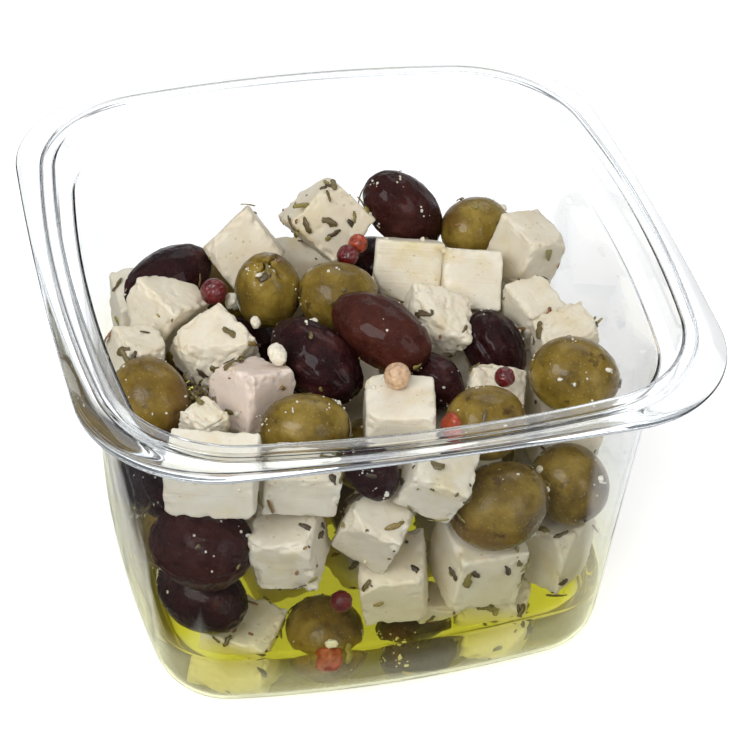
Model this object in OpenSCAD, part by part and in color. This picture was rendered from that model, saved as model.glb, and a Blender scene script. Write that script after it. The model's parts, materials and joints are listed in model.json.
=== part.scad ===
// Clear square deli tub of marinated olives and feta, open at the top.
// The tub stands on z = 0 and is centred on x = y = 0. The front side faces -Y.

/* [Tub] */
// Height of the tub, from its rest face to the top of the bead
tub_h = 86; // [84:1:92]
// Opening across the flats, at the inner edge of the bead
opening_w = 120; // [119:0.5:122]
// Radius of the bowed sides, at the inner edge of the bead
side_r = 270; // [220:5:400]
// Radius of the corners, at the inner edge of the bead
corner_r = 24.7; // [23.5:0.1:27]
// Thickness of the formed sheet
sheet_t = 0.6; // [0.5:0.1:0.7]
// Width of the base across the flats, measured where the wall line meets z = 0
base_w = 102; // [101:0.5:104]
// Radius of the bend between the base and the walls
base_bend_r = 10; // [8:0.5:11]

/* [Rim] */
// Width of the raised bead that the lid closes on
bead_w = 3.3; // [3:0.1:3.6]
// Radius of the bead's upper edges
bead_edge_r = 0.6; // [0.3:0.1:0.8]
// Width of the flange across the flats
flange_w = 132.6; // [131:0.2:136]
// Radius of the flange's nearly straight sides
flange_side_r = 900; // [600:50:1500]
// Radius of the flange's corners
flange_corner_r = 27.6; // [26:0.2:30]
// Drop from the bead's top to the flange
flange_drop = 1.9; // [1.5:0.1:2.6]
// Drop from the bead's top to the ledge inside it
ledge_drop = 7.4; // [6:0.2:9]
// Width of the ledge
ledge_w = 2.8; // [2:0.1:3]
// How far the bead's inner face leans out over its height
bead_lean = 0.7; // [0.3:0.1:1]

/* [Contents] */
// Depth of the oil that lies free under the food
oil_film = 1; // [0.6:0.1:1.2]
// Diameter of a peppercorn
peppercorn_d = 4.4; // [3.6:0.2:4.6]
// Diameter of the hole that a pitting machine leaves in an olive
pit_hole_d = 6; // [4:0.2:6.2]
// Depth of the hole that holds a strip of pimento
pimento_depth = 9; // [6:0.5:10]

/* [Hidden] */

$fn = 48;
ring_fn = 240;
bend_steps = 8;
outline_steps = 12;
plate_overlap = 0.4;
oil_gap = 0.1;
oil_margin = 1;
olive_step = 15;
whole_tip = 1;
pointed_tip = 1.3;

feta_colour = "#e8e0cc";
pink_feta_colour = "#ecd9cf";
green_colour = "#8a7a3a";
kalamata_colour = "#3a2226";
pimento_colour = "#b8452a";
pepper_colour = "#7a2a22";

opening_half = opening_w / 2;
base_half = base_w / 2;
flange_half = flange_w / 2;
ledge_z = tub_h - ledge_drop;
flange_z = tub_h - flange_drop;
bead_foot = opening_half - bead_lean;
wall_top_half = bead_foot - ledge_w;
wall_slope = (wall_top_half - base_half) / ledge_z;
side_shift = side_r - opening_half;
corner_c = corner_centre(opening_half, corner_r, side_r);
side_turn = atan2(corner_c, corner_c + side_shift);

// Centre of the corner arc, along x and along y, that is tangent to two bowed sides.
function corner_centre(half, r, bow_r) =
    (sqrt(2 * pow(bow_r - r, 2) - pow(bow_r - half, 2)) - (bow_r - half)) / 2;

// One quarter of a square outline with bowed sides and round corners, as points.
function quarter(half, r, bow_r) =
    let (
        shift = bow_r - half,
        c = corner_centre(half, r, bow_r),
        turn = atan2(c, c + shift)
    )
    concat(
        [for (i = [0:outline_steps - 1])
            let (a = turn * (2 * i / outline_steps - 1))
            [bow_r * cos(a) - shift, bow_r * sin(a)]],
        [for (i = [0:outline_steps - 1])
            let (a = turn + (90 - 2 * turn) * i / outline_steps)
            [c + r * cos(a), c + r * sin(a)]]
    );

// The whole outline, from the same quarter turned four times.
function outline(half, r, bow_r) =
    [for (q = [0:3]) for (p = quarter(half, r, bow_r))
        [p.x * cos(90 * q) - p.y * sin(90 * q), p.x * sin(90 * q) + p.y * cos(90 * q)]];

// The tub's own outline, moved in or out to pass through a given half width.
function tub_outline(half) =
    outline(half, corner_r + half - opening_half, side_r + half - opening_half);

// Half width of the wall's outer face at height z, with the bend at its foot.
function wall_x(z, bend) =
    let (inset = z < bend ? bend - sqrt(bend * bend - pow(bend - z, 2)) : 0)
    base_half + wall_slope * z - inset;

// Section of the wall and rim: the outer face going up, then the inner face going down.
function wall_section() =
    let (
        bend_in = base_bend_r - sheet_t,
        edge_in = bead_edge_r / 2,
        start = base_half - base_bend_r - plate_overlap,
        outer_x = opening_half + bead_w,
        top_in = tub_h - sheet_t
    )
    concat(
        [[start, 0]],
        [for (i = [0:bend_steps])
            let (z = base_bend_r * (1 - cos(90 * i / bend_steps)))
            [wall_x(z, base_bend_r), z]],
        [
            [wall_x(ledge_z - sheet_t, base_bend_r), ledge_z - sheet_t],
            [bead_foot + sheet_t, ledge_z - sheet_t],
            [opening_half + sheet_t, top_in - edge_in],
            [opening_half + sheet_t + edge_in, top_in],
            [outer_x - sheet_t - edge_in, top_in],
            [outer_x - sheet_t, top_in - edge_in],
            [outer_x - sheet_t, flange_z - sheet_t],
            [outer_x, flange_z - sheet_t],
            [outer_x, tub_h - bead_edge_r],
            [outer_x - bead_edge_r, tub_h],
            [opening_half + bead_edge_r, tub_h],
            [opening_half, tub_h - bead_edge_r],
            [bead_foot, ledge_z]
        ],
        [[wall_x(ledge_z, base_bend_r) - sheet_t, ledge_z]],
        [for (i = [bend_steps:-1:0])
            let (z = sheet_t + bend_in * (1 - cos(90 * i / bend_steps)))
            [wall_x(z - sheet_t, bend_in) - sheet_t, z]],
        [[start, sheet_t]]
    );

// The section swept round the four bowed sides and the four corners.
module swept_wall() {
    for (q = [0:3])
        rotate(90 * q) {
            translate([-side_shift, 0, 0])
                rotate_extrude(start = -side_turn, angle = 2 * side_turn, $fn = ring_fn)
                    translate([side_shift, 0])
                        polygon(wall_section());
            translate([corner_c, corner_c, 0])
                rotate_extrude(start = side_turn, angle = 90 - 2 * side_turn, $fn = ring_fn)
                    translate([corner_r - opening_half, 0])
                        polygon(wall_section());
        }
}

module base_plate() {
    linear_extrude(sheet_t)
        polygon(tub_outline(base_half - base_bend_r - plate_overlap / 2));
}

module flange_plate() {
    translate([0, 0, flange_z - sheet_t])
        linear_extrude(sheet_t)
            difference() {
                polygon(outline(flange_half, flange_corner_r, flange_side_r));
                polygon(tub_outline(opening_half + bead_w - plate_overlap));
            }
}

// One formed sheet: base, walls, inner ledge, raised bead and flange.
module tub() {
    color("azure", 0.4)
        union() {
            swept_wall();
            base_plate();
            flange_plate();
        }
}

// The oil that collects under the food.
module oil() {
    color("#b8b414", 0.7)
        translate([0, 0, sheet_t + oil_gap])
            linear_extrude(oil_film)
                polygon(tub_outline(base_half - base_bend_r + oil_margin));
}

// A cut block of feta, given its centre, its turn and its three sides.
module feta(at, turn, size, tint = feta_colour) {
    color(tint)
        translate(at)
            rotate(turn)
                cube(size, center = true);
}

// The outline of half an olive, along x. A higher tip value draws one end to a point.
function olive_section(long, wide, tip) = concat(
    [for (a = [-90:olive_step:90])
        [long / 2 * sin(a), wide / 2 * pow(cos(a), a > 0 ? tip : 1)]]);

module olive_body(long, wide, tip) {
    rotate([0, 90, 0])
        rotate_extrude()
            polygon([for (p = olive_section(long, wide, tip)) [p.y, p.x]]);
}

// A green olive, whole, with its long axis along x before it is turned.
module green_olive(at, turn, size) {
    color(green_colour)
        translate(at)
            rotate(turn)
                olive_body(size[0], size[1], whole_tip);
}

// A green olive with a hole in its +x end.
module pitted_olive(at, turn, size) {
    color(green_colour)
        translate(at)
            rotate(turn)
                difference() {
                    olive_body(size[0], size[1], whole_tip);
                    translate([size[0] / 2 - pimento_depth, 0, 0])
                        rotate([0, 90, 0])
                            cylinder(h = pimento_depth, d = pit_hole_d);
                }
}

// The strip of pimento that fills the hole of a pitted olive of the same place and size.
module pimento(at, turn, size) {
    gap = 0.2;
    proud = 0.6;
    color(pimento_colour)
        translate(at)
            rotate(turn)
                translate([size[0] / 2 - pimento_depth + gap, 0, 0])
                    rotate([0, 90, 0])
                        cylinder(h = pimento_depth - proud, d = pit_hole_d - 2 * gap);
}

// A kalamata olive, with its pointed end towards +x before it is turned.
module kalamata(at, turn, size) {
    color(kalamata_colour)
        translate(at)
            rotate(turn)
                olive_body(size[0], size[1], pointed_tip);
}

// Top of the heap, from the back left round to the front.
module feta_01() feta([-16.5, 33.4, 60], [42, -32, -104], [13, 13, 13]);
module feta_02() feta([4, 40, 61.4], [40, -30, -90], [13, 13.5, 13.5]);
module feta_03() feta([45.5, 20.8, 61], [8, 14, 20], [10.6, 11.6, 13.2]);
module feta_04() feta([18.2, 22, 58.4], [0, -32, -106], [12, 14.6, 13]);
module feta_05() feta([30.8, 15.3, 59.2], [0, -32, -106], [12, 12.6, 12.6]);
module feta_06() feta([42.4, 5, 56.3], [10, 0, 20], [10, 11, 11]);
module feta_07() feta([45.6, -8, 57.5], [0, -8, 8], [12, 11, 11]);
module feta_08() feta([-38.4, 15, 60], [16, 18, 40], [13, 12, 13]);
module feta_09() feta([-46.9, 1, 60.8], [8, 10, 12], [9.8, 9.4, 10.4]);
module feta_10() feta([-29.4, 3, 57.6], [12, -18, 24], [14, 13, 12]);
module feta_11() feta([-25.1, -14, 58.9], [-14, 18, 30], [12, 11.6, 12.6], pink_feta_colour);
module feta_12() feta([18.9, 2.1, 58.8], [16, 20, -10], [13, 12, 11]);
module feta_13() feta([26.9, -18.2, 55.7], [6, 12, -24], [11.4, 10.6, 8]);
module feta_14() feta([3.6, -26, 57.4], [0, 0, -16], [13.8, 13.8, 13.6]);
module feta_15() feta([-37.2, -23, 59.6], [10, 0, 34], [7, 7, 11]);
module green_olive_01() green_olive([37.7, 34, 58.3], [0, 12, 20], [16.4, 14.2]);
module green_olive_02() pitted_olive([-14.8, 17, 61.5], [0, -74, -106], [18.6, 14]);
module green_olive_03() green_olive([-0.6, 11, 62], [0, 10, -6], [16.4, 14.8]);
module green_olive_04() green_olive([42.4, -23, 61], [0, 14, -20], [18.4, 15.8]);
module green_olive_05() pitted_olive([20, -32, 59.6], [0, -14, -165], [17.4, 14.6]);
module green_olive_06() green_olive([-16.8, -28, 60], [0, 0, -10], [17.4, 14.6]);
module green_olive_07() green_olive([-46.3, -13, 60.8], [0, 20, -60], [17, 15]);
module kalamata_01() kalamata([21.3, 37.7, 63], [0, -48, 170], [21.6, 14]);
module kalamata_02() kalamata([-34.2, 30.4, 56.6], [0, 14, 200], [20.4, 12.8]);
module kalamata_03() kalamata([-10, -7.2, 60.4], [0, 14, -56], [22.4, 14]);
module kalamata_04() kalamata([4.3, -6, 65], [0, 12, -46], [23, 13.6]);
module kalamata_05() kalamata([31.2, -4.4, 55.3], [0, 30, -66], [17, 11.6]);
module kalamata_06() kalamata([15, -13.2, 55.6], [0, 10, -60], [14, 10.6]);
module pimento_top() pimento([20, -32, 59.6], [0, -14, -165], [17.4, 14.6]);

// Behind the front wall, from the top down.
module feta_16() feta([-39, -42, 64.6], [4, -4, -20], [17, 10.6, 12]);
module feta_17() feta([-21.1, -40.5, 58.9], [0, 6, -8], [14.6, 10, 10.4]);
module feta_18() feta([6.5, -44, 57.6], [14, 22, -20], [12, 12, 11]);
module feta_19() feta([-22.9, -41.8, 42.4], [10, -10, -26], [12.6, 12.6, 15]);
module feta_20() feta([-4.9, -41.9, 45.3], [20, 16, -30], [12.2, 12.8, 14.6]);
module feta_21() feta([18, -42, 31], [4, 4, 6], [15, 14, 15]);
module feta_22() feta([37.6, -36, 25.5], [0, 6, 38], [13.2, 12, 15]);
module feta_23() feta([0, -42, 28.6], [8, -8, -14], [13, 13, 14]);
module feta_24() feta([-31, -37.2, 11.6], [6, 8, -30], [14, 13, 13]);
module feta_25() feta([24, -38.4, 11.8], [0, 6, -20], [13.4, 12.6, 13.6]);
module feta_26() feta([9.5, -40, 17.1], [10, 20, 10], [9.6, 8.6, 6.2]);
module green_olive_08() green_olive([20.6, -44, 47.2], [0, -8, 12], [20.4, 17.2]);
module green_olive_09() green_olive([39.2, -36, 42.8], [0, 40, -50], [17, 15.6]);
module green_olive_10() pitted_olive([-14, -41, 12.6], [0, -12, -98], [18, 15.8]);
module kalamata_07() kalamata([-45.5, -28.1, 54.6], [0, 64, -60], [16, 12]);
module kalamata_08() kalamata([-40.3, -38.5, 42.3], [0, -4, -36], [21, 16.8]);
module kalamata_09() kalamata([-6.6, -42, 60.6], [0, 30, -60], [13, 9.8]);
module kalamata_10() kalamata([-40, -37, 26.6], [0, 10, -44], [20, 14]);
module kalamata_11() kalamata([6, -41.6, 8.2], [0, 8, 12], [16.6, 11.6]);
module pimento_front() pimento([-14, -41, 12.6], [0, -12, -98], [18, 15.8]);

// The lower layers: a ring along the side and back walls, round a square of nine.
layer_z = [10.6, 26.8, 42.8];
ring_half = [38.6, 42, 43.4];
corner_half = [33, 36.8, 37.8];
ring_pitch = [17, 18.4, 18.6];
// How far the front and the middle olive of each layer are pushed against the left wall.
left_push = [[0, 0, 0], [1.5, 0.4, 0], [1.8, 0, 0]];
layer_scale = [0.94, 1, 1];
inner_pitch = 19.6;
lower_feta_size = [14, 13.7, 13.2];
lower_green_size = [17.8, 15.2];
lower_kalamata_size = [18.4, 14];
// The largest turns of a lower piece, and how much the sides of the feta vary.
feta_turn = [8.5, 8.5, 17];
green_turn = [0, 16, 90];
kalamata_turn = [0, 16, 180];
feta_spread = 0.6;
// What lies in each place of each layer: f for feta, g for a green olive, k for a kalamata.
layer_kinds = [
    "fkgffgkfgfkfgkffgfkf",
    "gkffgfkgfkffkfgfgfkf",
    "kkgfffgfkfgffkgfkffg"
];
places_per_layer = len(layer_kinds[0]);
wobble = rands(-1, 1, 3 * places_per_layer * len(layer_kinds), 9);

function layer_places(k) = concat(
    [for (j = [-1:1]) [-ring_half[k] - left_push[k][j + 1], j * ring_pitch[k]]],
    [for (j = [-1:1]) [ring_half[k], j * ring_pitch[k]]],
    [for (i = [-1:1]) [i * ring_pitch[k], ring_half[k]]],
    [for (side = [-1, 1]) [side * corner_half[k], corner_half[k]]],
    [for (i = [-1:1]) for (j = [-1:1]) inner_pitch * [i, j]]
);

// Two lists multiplied element by element.
function times(a, b) = [for (i = [0:len(a) - 1]) a[i] * b[i]];

// Draws every lower piece of one kind, each with its own small turn.
module lower_pieces(kind) {
    for (k = [0:len(layer_kinds) - 1])
        for (i = [0:places_per_layer - 1])
            if (layer_kinds[k][i] == kind) {
                first = 3 * (k * places_per_layer + i);
                w = [wobble[first], wobble[first + 1], wobble[first + 2]];
                at = [each layer_places(k)[i], layer_z[k]];
                if (kind == "f")
                    feta(at, times(feta_turn, w), layer_scale[k] * (lower_feta_size + feta_spread * w));
                if (kind == "g")
                    green_olive(at, times(green_turn, w), layer_scale[k] * lower_green_size);
                if (kind == "k")
                    kalamata(at, times(kalamata_turn, w), layer_scale[k] * lower_kalamata_size);
            }
}

module lower_feta() lower_pieces("f");
module lower_green_olives() lower_pieces("g");
module lower_kalamatas() lower_pieces("k");

// Loose peppercorns, in the hollows between the pieces on top and at the front wall.
// Each place ends with that peppercorn's share of the usual diameter.
module peppercorns() {
    places = [
        [-27.6, 13.2, 65.6, 1.2], [4, 21.2, 65, 1], [7.5, 25.6, 64.5, 0.9],
        [3.5, -22.6, 66.9, 1.16], [26.7, -23.4, 63.6, 0.9], [-12.6, -47, 29, 0.95]
    ];
    color(pepper_colour)
        for (place = places)
            translate([place.x, place.y, place.z])
                sphere(d = peppercorn_d * place[3]);
}

tub();
oil();
feta_01();
feta_02();
feta_03();
feta_04();
feta_05();
feta_06();
feta_07();
feta_08();
feta_09();
feta_10();
feta_11();
feta_12();
feta_13();
feta_14();
feta_15();
feta_16();
feta_17();
feta_18();
feta_19();
feta_20();
feta_21();
feta_22();
feta_23();
feta_24();
feta_25();
feta_26();
green_olive_01();
green_olive_02();
green_olive_03();
green_olive_04();
green_olive_05();
green_olive_06();
green_olive_07();
green_olive_08();
green_olive_09();
green_olive_10();
kalamata_01();
kalamata_02();
kalamata_03();
kalamata_04();
kalamata_05();
kalamata_06();
kalamata_07();
kalamata_08();
kalamata_09();
kalamata_10();
kalamata_11();
pimento_top();
pimento_front();
lower_feta();
lower_green_olives();
lower_kalamatas();
peppercorns();
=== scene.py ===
"""Looks for a clear deli tub of marinated olives and feta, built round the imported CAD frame."""
import json
import math

import bpy
import numpy as np
from mathutils import Matrix, Vector, noise


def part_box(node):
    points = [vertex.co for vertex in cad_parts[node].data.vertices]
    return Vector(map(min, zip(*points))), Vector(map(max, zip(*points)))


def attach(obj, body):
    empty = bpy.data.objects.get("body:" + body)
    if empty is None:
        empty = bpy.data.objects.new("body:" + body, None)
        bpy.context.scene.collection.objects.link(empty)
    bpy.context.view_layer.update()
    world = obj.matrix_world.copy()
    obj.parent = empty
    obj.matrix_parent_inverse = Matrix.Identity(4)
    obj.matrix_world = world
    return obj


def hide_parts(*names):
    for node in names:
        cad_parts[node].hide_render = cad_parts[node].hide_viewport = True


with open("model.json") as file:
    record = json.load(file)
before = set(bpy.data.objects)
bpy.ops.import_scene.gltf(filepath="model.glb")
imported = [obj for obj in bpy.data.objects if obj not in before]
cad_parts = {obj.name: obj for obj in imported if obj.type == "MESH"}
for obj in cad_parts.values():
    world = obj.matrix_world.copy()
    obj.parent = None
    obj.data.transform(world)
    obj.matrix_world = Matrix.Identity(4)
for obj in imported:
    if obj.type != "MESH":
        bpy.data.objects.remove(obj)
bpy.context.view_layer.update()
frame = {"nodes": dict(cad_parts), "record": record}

MM = 0.001
SEED = 7
NODES = frame["nodes"]

# How much larger the soft pieces are than their solids, which leave small gaps.
GROW = 1.04
# Grid cells along the side of a cut block, and turns and steps of an olive.
FINE_CELLS = 40
COARSE_CELLS = 20
CRUMB_CELLS = 3
FINE_TURNS, FINE_STEPS = 84, 56
COARSE_TURNS, COARSE_STEPS = 40, 28


# ---------------------------------------------------------------- small helpers

def unit(v):
    v = np.asarray(v, float)
    return v / (np.linalg.norm(v, axis=-1, keepdims=True) + 1e-12)


def noise_at(points, size, offset=0.0):
    """Smooth noise between -1 and 1 at points in metres, with features about size metres across."""
    return np.array([noise.noise(Vector(p / size) + Vector((offset, offset * 1.7, -offset)))
                     for p in points])


def smooth_step(x, low, high):
    t = np.clip((x - low) / (high - low), 0, 1)
    return t * t * (3 - 2 * t)


def new_object(name, verts, faces, material, tone=None, cut=None, smooth=True):
    """A mesh object. tone and cut are values per vertex that its shader may read."""
    mesh = bpy.data.meshes.new(name)
    mesh.from_pydata([tuple(v) for v in verts], [], [tuple(int(i) for i in f) for f in faces])
    mesh.update()
    mesh.polygons.foreach_set("use_smooth", [smooth] * len(mesh.polygons))
    for label, values in (("tone", tone), ("cut", cut)):
        if values is not None:
            layer = mesh.attributes.new(label, "FLOAT", "POINT")
            layer.data.foreach_set("value", values.astype(np.float32))
    mesh.materials.append(material)
    obj = bpy.data.objects.new(name, mesh)
    bpy.context.scene.collection.objects.link(obj)
    return obj


def join_meshes(parts):
    """Points, faces, tones and cuts from several (points, faces, tone, cut) parts."""
    verts, faces, tones, cuts, base = [], [], [], [], 0
    for points, quads, tone, cut in parts:
        verts.append(points)
        faces += [tuple(i + base for i in f) for f in quads]
        tones.append(np.broadcast_to(tone, len(points)))
        cuts.append(np.broadcast_to(cut, len(points)))
        base += len(points)
    return np.vstack(verts), faces, np.concatenate(tones), np.concatenate(cuts)


def add_piece(name, parts, material, body):
    """One piece made of several parts, riding on a body."""
    verts, faces, tones, cuts = join_meshes(parts)
    piece = new_object(name, verts, faces, material, tones, cuts)
    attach(piece, body)
    return piece


# ---------------------------------------------------------------- places read from the frame

def loose_parts(node):
    """The welded point cloud and face normals of each separate solid in a CAD node."""
    mesh = NODES[node].data
    co = np.array([v.co for v in mesh.vertices], float)
    keys, index = np.unique(np.round(co / 1e-6).astype(np.int64), axis=0, return_inverse=True)
    index = index.reshape(-1)
    parent = list(range(len(keys)))

    def root(i):
        while parent[i] != i:
            parent[i] = parent[parent[i]]
            i = parent[i]
        return i

    for poly in mesh.polygons:
        first = root(index[poly.vertices[0]])
        for v in poly.vertices[1:]:
            parent[root(index[v])] = first
    groups = {}
    for i in range(len(keys)):
        groups.setdefault(root(i), []).append(i)
    normals = {}
    for poly in mesh.polygons:
        normals.setdefault(root(index[poly.vertices[0]]), []).append(np.array(poly.normal))
    points = keys * 1e-6
    found = [(points[np.array(ids)], np.array(normals[g])) for g, ids in groups.items()]
    return sorted(found, key=lambda part: tuple(np.round(part[0].mean(0), 5)))


def block_place(points, normals):
    """Centre, axes as columns and half sizes of a cut block."""
    a = unit(normals[0])
    b = next(n for n in normals if abs(n @ a) < 0.1)
    b = unit(b - (b @ a) * a)
    axes = np.column_stack([a, b, np.cross(a, b)])
    local = points @ axes
    low, high = local.min(0), local.max(0)
    return axes @ ((low + high) / 2), axes, (high - low) / 2


def olive_place(points):
    """Centre, axes and half sizes of an olive. The first axis is the long one, towards its finer end."""
    middle = (points.max(0) + points.min(0)) / 2
    _, _, rows = np.linalg.svd(points - points.mean(0), full_matrices=False)
    axes = rows.T
    local = (points - middle) @ axes
    low, high = local.min(0), local.max(0)
    centre = middle + axes @ ((low + high) / 2)
    local = (points - centre) @ axes
    radius = np.hypot(local[:, 1], local[:, 2])
    # A pit hole leaves the tip at its end off the axis. Otherwise the finer end leads.
    tips = radius[[local[:, 0].argmin(), local[:, 0].argmax()]]
    slim = radius < 0.5 * radius.max()
    if abs(tips[1] - tips[0]) > MM:
        lead = tips[1] - tips[0]
    else:
        lead = local[slim, 0].sum()
    if lead < 0:
        axes[:, 0] *= -1
    axes[:, 2] = np.cross(axes[:, 0], axes[:, 1])
    half = np.array([(high[0] - low[0]) / 2, radius.max(), radius.max()])
    return centre, axes, half


# ---------------------------------------------------------------- grids

def cube_surface(cells):
    """Points and quads of a cube from -1 to 1, with its cells finer towards the edges."""
    t = np.linspace(-1, 1, cells + 1)
    line = np.sin(t * math.pi / 2) * 0.35 + t * 0.65
    ids, points, quads = {}, [], []

    def vertex(p):
        key = tuple(np.round(p, 6))
        if key not in ids:
            ids[key] = len(points)
            points.append(p)
        return ids[key]

    for axis in range(3):
        u, v = (axis + 1) % 3, (axis + 2) % 3
        for side in (-1, 1):
            for i in range(cells):
                for j in range(cells):
                    corners = [(i, j), (i + 1, j), (i + 1, j + 1), (i, j + 1)]
                    quad = []
                    for a, b in corners[::side]:
                        p = np.zeros(3)
                        p[axis], p[u], p[v] = side, line[a], line[b]
                        quad.append(vertex(p))
                    quads.append(tuple(quad))
    return np.array(points), quads


def revolved(section, turns):
    """Points and faces of a section of (x, radius) pairs turned about x. Zero radii are single points."""
    points, rings, faces = [], [], []
    angles = np.arange(turns) * 2 * math.pi / turns
    for x, r in section:
        if r < 1e-9:
            rings.append([len(points)])
            points.append((x, 0, 0))
        else:
            rings.append(list(range(len(points), len(points) + turns)))
            points += [(x, r * math.cos(a), r * math.sin(a)) for a in angles]
    for low, high in zip(rings, rings[1:]):
        for k in range(turns):
            n = (k + 1) % turns
            if len(low) == 1:
                faces.append((low[0], high[n], high[k]))
            elif len(high) == 1:
                faces.append((low[k], low[n], high[0]))
            else:
                faces.append((low[k], low[n], high[n], high[k]))
    return np.array(points, float), faces


GRIDS = {cells: cube_surface(cells) for cells in (FINE_CELLS, COARSE_CELLS, CRUMB_CELLS)}


# ---------------------------------------------------------------- food shapes

def feta_shape(centre, axes, half, rng, cells, crumble):
    """A cut block with uneven edges, chipped corners and a crumbly skin.

    Also returns each point's place across the cut lines, for the shader."""
    grid, quads = GRIDS[cells]
    half = half * GROW
    offset = rng.uniform(0, 50)
    p = grid * half
    outward = unit(grid ** 7)
    radius = (0.5 + 0.3 * crumble * (1 + noise_at(p, 3.5 * MM, offset))) * MM
    core = np.clip(p, -(half - radius[:, None]), half - radius[:, None])
    out = p - core
    length = np.linalg.norm(out, axis=1)[:, None]
    p = core + out / np.maximum(length, 1e-9) * np.minimum(length, radius[:, None])
    # Faces lean a little, as those of hand-cut cheese do.
    lean = rng.normal(0, 0.035, (3, 3)) * (1 - np.eye(3))
    p = p + p @ lean
    # Corners break off along rough planes.
    for _ in range(rng.integers(2, 6)):
        corner = unit(rng.choice([-1, 1], 3) * rng.uniform(0.35, 1, 3))
        reach = (p @ corner).max() - rng.uniform(0.6, 2.4) * MM * (0.5 + 0.6 * crumble)
        beyond = np.maximum(p @ corner - reach, 0)
        rough = 0.72 + 0.28 * noise_at(p, 1.5 * MM, offset + 5)
        p = p - np.outer(beyond * rough, corner)
    # Crumbs are missing along the edges, and small pits are open in the faces.
    near_edge = smooth_step(np.sort(np.abs(grid), axis=1)[:, 1], 0.7, 1.0)
    bites = near_edge * np.maximum(noise_at(p, 2.2 * MM, offset + 3) + 0.1, 0) * 1.3 * crumble
    rough = 0.35 + 0.65 * smooth_step(np.sort(np.abs(grid), axis=1)[:, 1], 0.55, 0.95)
    rough = np.maximum(rough, min(crumble - 0.6, 1)) * crumble
    skin = (
        0.26 * noise_at(p, 7 * MM, offset + 11)
        + 0.2 * rough * noise_at(p, 2.1 * MM, offset + 17)
        + 0.13 * rough * noise_at(p, 0.9 * MM, offset + 23)
    )
    pits = np.maximum(noise_at(p, 1.5 * MM, offset + 31) - 0.42, 0) * 1.5 * rough
    p = p + outward * ((skin - pits - bites) * MM)[:, None]
    # The knife's lines run level, so they change along the steepest axis.
    return p @ axes.T + centre, quads, p[:, np.abs(axes[2]).argmax()]


def olive_section(half, tip, steps, hole=0.0, depth=0.0):
    """Half outline of an olive along its length. A higher tip draws the far end to a point."""
    section = []
    for a in np.linspace(-math.pi / 2, math.pi / 2, steps + 1):
        x = half[0] * math.sin(a)
        power = tip if a > 0 else 0.94
        r = half[1] * max(math.cos(a), 0) ** power
        if a < 0:
            # The shallow dimple where the stalk was.
            x += 0.7 * MM * math.exp(-((r / (1.2 * MM)) ** 2))
        if hole and a > 0 and r < hole:
            break
        section.append((x, r if abs(a) < math.pi / 2 - 1e-6 else 0.0))
    if hole:
        x = section[-1][0]
        section += [(x + 0.2 * MM, hole * 0.97), (x, hole * 0.84)]
        section += [(x - depth * k, hole * (0.8 - 0.12 * k)) for k in (0.12, 0.3, 0.6, 1.0)]
        section.append((x - depth, 0.0))
    return section


def olive_skin(p, half, rng, wrinkle):
    """Moves an olive's points for dents, and for wrinkles along its length."""
    offset = rng.uniform(0, 50)
    stretched = p * np.array([0.3, 1, 1])
    outward = unit(p / half ** 2)
    creases = 1 - 2.4 * np.abs(noise_at(stretched, 2.1 * MM, offset + 39))
    depth = (
        0.3 * noise_at(p, 9 * MM, offset)
        + wrinkle * 0.26 * noise_at(stretched, 2.6 * MM, offset + 9)
        + wrinkle * 0.16 * creases
        + wrinkle * 0.12 * noise_at(p, 1.3 * MM, offset + 19)
        + 0.05 * noise_at(p, 0.9 * MM, offset + 29)
    )
    bend = rng.normal(0, 0.035)
    p = p + outward * (depth * MM)[:, None]
    p[:, 1] += bend * (p[:, 0] ** 2) / half[0]
    return p


def olive_shape(place, rng, fine, tip, wrinkle, hole=0.0, slits=False):
    """An olive in its place, whole or with a pit hole, which slits may surround."""
    centre, axes, half = place
    half = half * GROW
    turns, steps = (FINE_TURNS, FINE_STEPS) if fine else (COARSE_TURNS, COARSE_STEPS)
    p, faces = revolved(olive_section(half, tip, steps, hole, HOLE_DEPTH), turns)
    if slits:
        p = star_cut(p, half)
    p = olive_skin(p, half, rng, wrinkle)
    return p @ axes.T + centre, faces


def star_cut(p, half):
    """Opens a star of four slits round the hole at the +x end of a pitted olive."""
    r = np.hypot(p[:, 1], p[:, 2])
    angle = np.arctan2(p[:, 2], p[:, 1])
    slit = np.maximum(np.cos(2 * angle), 0) ** 18 + np.maximum(-np.cos(2 * angle), 0) ** 18
    near = smooth_step(-r, -5.4 * MM, -1.5 * MM) * (p[:, 0] > 0.3 * half[0])
    flaps = 0.35 * MM * (1 - slit) * smooth_step(-r, -4.2 * MM, -1.2 * MM) * (p[:, 0] > 0.3 * half[0])
    p = p.copy()
    p[:, 0] += flaps - 1.7 * MM * slit * near
    return p


def pepper_shape(centre, radius, rng):
    """A peppercorn with the ridged net of a dried berry."""
    grid, quads = GRIDS[COARSE_CELLS]
    p = unit(grid)
    offset = rng.uniform(0, 50)
    ridges = 1 - np.abs(noise_at(p, 0.42, offset)) * 2
    return p * (radius * (1.02 + 0.1 * ridges))[:, None] + centre, quads


# ---------------------------------------------------------------- material helpers

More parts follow.
